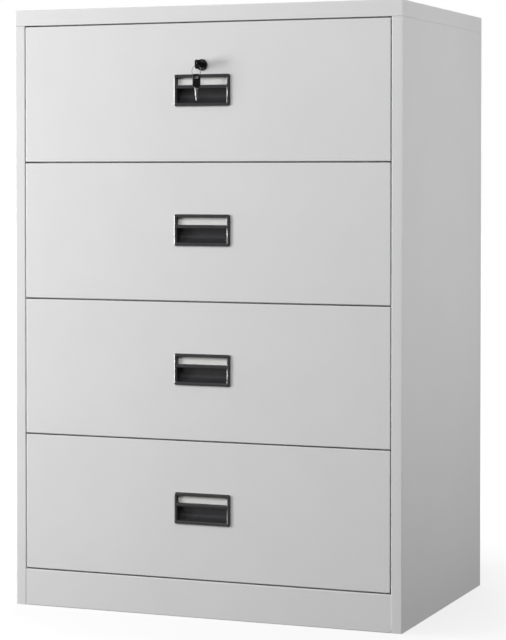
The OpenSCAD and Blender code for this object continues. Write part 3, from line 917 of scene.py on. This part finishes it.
def white_room(ambient):
    """A white backdrop, and light that comes from above the horizon only."""
    world = bpy.data.worlds.new("white_room")
    world.use_nodes = True
    tree = world.node_tree
    tree.nodes.clear()
    way = add_node(tree, "ShaderNodeTexCoord").outputs["Generated"]
    height = add_node(tree, "ShaderNodeSeparateXYZ", links={0: way}).outputs["Z"]
    horizon = add_node(tree, "ShaderNodeMapRange", {"From Min": -0.15, "From Max": 0.15},
                       {"Value": height})
    lit = add_node(tree, "ShaderNodeBackground", {"Strength": ambient},
                   {"Color": horizon.outputs[0]})
    seen = add_node(tree, "ShaderNodeBackground", {"Color": (1, 1, 1, 1), "Strength": 1.0})
    path = add_node(tree, "ShaderNodeLightPath")
    mix = add_node(tree, "ShaderNodeMixShader", links={
        0: path.outputs["Is Camera Ray"], 1: lit.outputs[0], 2: seen.outputs[0]})
    add_node(tree, "ShaderNodeOutputWorld", links={"Surface": mix.outputs[0]})
    return world


class CABINET_OT_stage(bpy.types.Operator):
    """Sets the floor, the lights and the camera"""

    bl_idname = "cabinet.stage"
    bl_label = "Stage"

    def execute(self, context):
        stage = context.scene.cabinet_stage
        deselect_all()
        bpy.ops.mesh.primitive_plane_add(size=60, location=(0, 0, cad_low.z))
        floor = context.active_object
        floor.name = "studio_floor"
        bake_place(floor)
        floor.data.materials.append(studio_floor("matt_white_sweep"))
        floor.visible_diffuse = False

        middle = Vector((0, FRONT, 0.75))
        softbox("softbox_key", (-3.2, FRONT - 1.8, 0.9), middle, (1.2, 1.2), stage.key_power)
        softbox("softbox_high", (-2.4, FRONT - 2.0, 2.6), middle, (1.5, 1.5), stage.high_power)
        softbox("softbox_front", (0.4, FRONT - 3.2, 3.0), (0, FRONT, 1.0), (2.0, 1.5),
                stage.front_power)
        # The strip only shows as a glint along the handles' edges.
        edge = softbox("strip_edge", (-3.0, FRONT - 0.3, 1.0), (0, FRONT, 0.8), (0.5, 2.0),
                       stage.edge_power)
        edge.visible_diffuse = False
        side = softbox("softbox_side", (3.2, 0.2, 1.55), (0.45, 0, 1.2), (1.6, 1.0),
                       stage.side_power)
        side.data.spread = stage.side_spread
        back = softbox("softbox_back", (-1.5, 4.0, 2.2), (0, 0.3, 0.8), (2.0, 1.5),
                       stage.back_power)
        back.visible_camera = False
        context.scene.world = white_room(stage.ambient)

        camera = bpy.data.objects.new("camera", bpy.data.cameras.new("camera"))
        camera.data.lens = stage.lens
        camera.data.shift_y = stage.rise
        camera.location = (stage.camera_right, FRONT - stage.camera_away, stage.camera_up)
        camera.rotation_euler = (math.pi / 2 - stage.camera_tilt, 0, stage.camera_turn)
        context.scene.collection.objects.link(camera)
        context.scene.camera = camera
        context.scene.view_settings.view_transform = "Standard"
        return {"FINISHED"}


# ---------------------------------------------------------------- add-on

OPERATORS = (CABINET_OT_sides, CABINET_OT_top, CABINET_OT_plinth, CABINET_OT_fronts,
             CABINET_OT_trays, CABINET_OT_handles, CABINET_OT_lock, CABINET_OT_keys,
             CABINET_OT_finishes, CABINET_OT_stage)


class CABINET_PT_panel(bpy.types.Panel):
    """Lists the cabinet's settings and pieces in the sidebar"""

    bl_label = "Filing cabinet"
    bl_idname = "CABINET_PT_panel"
    bl_space_type = "VIEW_3D"
    bl_region_type = "UI"
    bl_category = "Cabinet"

    def draw(self, context):
        scene = context.scene
        for settings in (scene.cabinet_sheets, scene.cabinet_handles, scene.cabinet_finish,
                         scene.cabinet_stage):
            box = self.layout.box()
            for name in settings.__annotations__:
                box.prop(settings, name)
        for operator in OPERATORS:
            self.layout.operator(operator.bl_idname)


SETTINGS = {"cabinet_sheets": SheetSettings, "cabinet_handles": HandleSettings,
            "cabinet_finish": FinishSettings, "cabinet_stage": StageSettings}
CLASSES = (*SETTINGS.values(), *OPERATORS, CABINET_PT_panel)


def register():
    for item in CLASSES:
        bpy.utils.register_class(item)
    for name, group in SETTINGS.items():
        setattr(bpy.types.Scene, name, PointerProperty(type=group))


def unregister():
    for name in SETTINGS:
        delattr(bpy.types.Scene, name)
    for item in reversed(CLASSES):
        bpy.utils.unregister_class(item)


def main():
    register()
    make_materials(bpy.context.scene.cabinet_finish)
    bpy.ops.cabinet.sides()
    bpy.ops.cabinet.top()
    bpy.ops.cabinet.plinth()
    bpy.ops.cabinet.fronts()
    bpy.ops.cabinet.trays()
    bpy.ops.cabinet.handles()
    bpy.ops.cabinet.lock()
    bpy.ops.cabinet.keys()
    bpy.ops.cabinet.finishes()
    bpy.ops.cabinet.stage()


if __name__ == "__main__":
    main()
